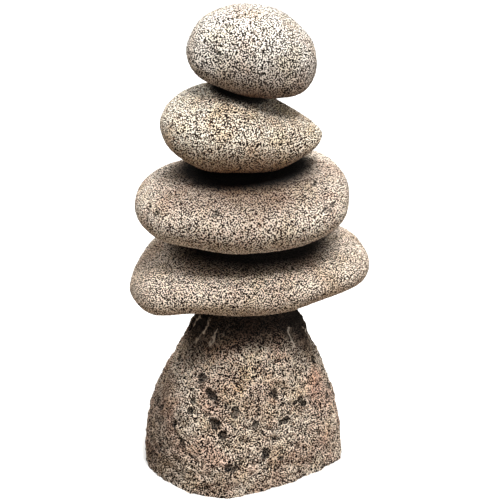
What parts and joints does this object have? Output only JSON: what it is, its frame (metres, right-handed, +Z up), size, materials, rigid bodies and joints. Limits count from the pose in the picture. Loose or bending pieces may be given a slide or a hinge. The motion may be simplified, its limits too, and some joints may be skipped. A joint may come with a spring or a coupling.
{
  "type": "stone cairn",
  "caption": "Garden cairn: a pitted boulder sawn flat underneath carries water-worn stones stacked and balanced one on another, smallest on top.",
  "frame": {"origin": "middle of the boulder's sawn flat underside, on the ground", "axes": "+Z up the stack, -Y towards its front, +X to the right of someone facing the front, along the slab's length"},
  "size_m": [0.1482, 0.1278, 0.2949],
  "materials": {
    "rough_stone": "rough, pitted, salt-and-pepper grained brown-grey stone",
    "worn_stone": "water-worn, matte, salt-and-pepper grained beige-grey stone"
  },
  "bodies": {
    "root": {"base_stone": "rough_stone", "slab_stone": "worn_stone", "oval_stone": "worn_stone", "almond_stone": "worn_stone", "cap_stone": "worn_stone"}
  },
  "joints": []
}
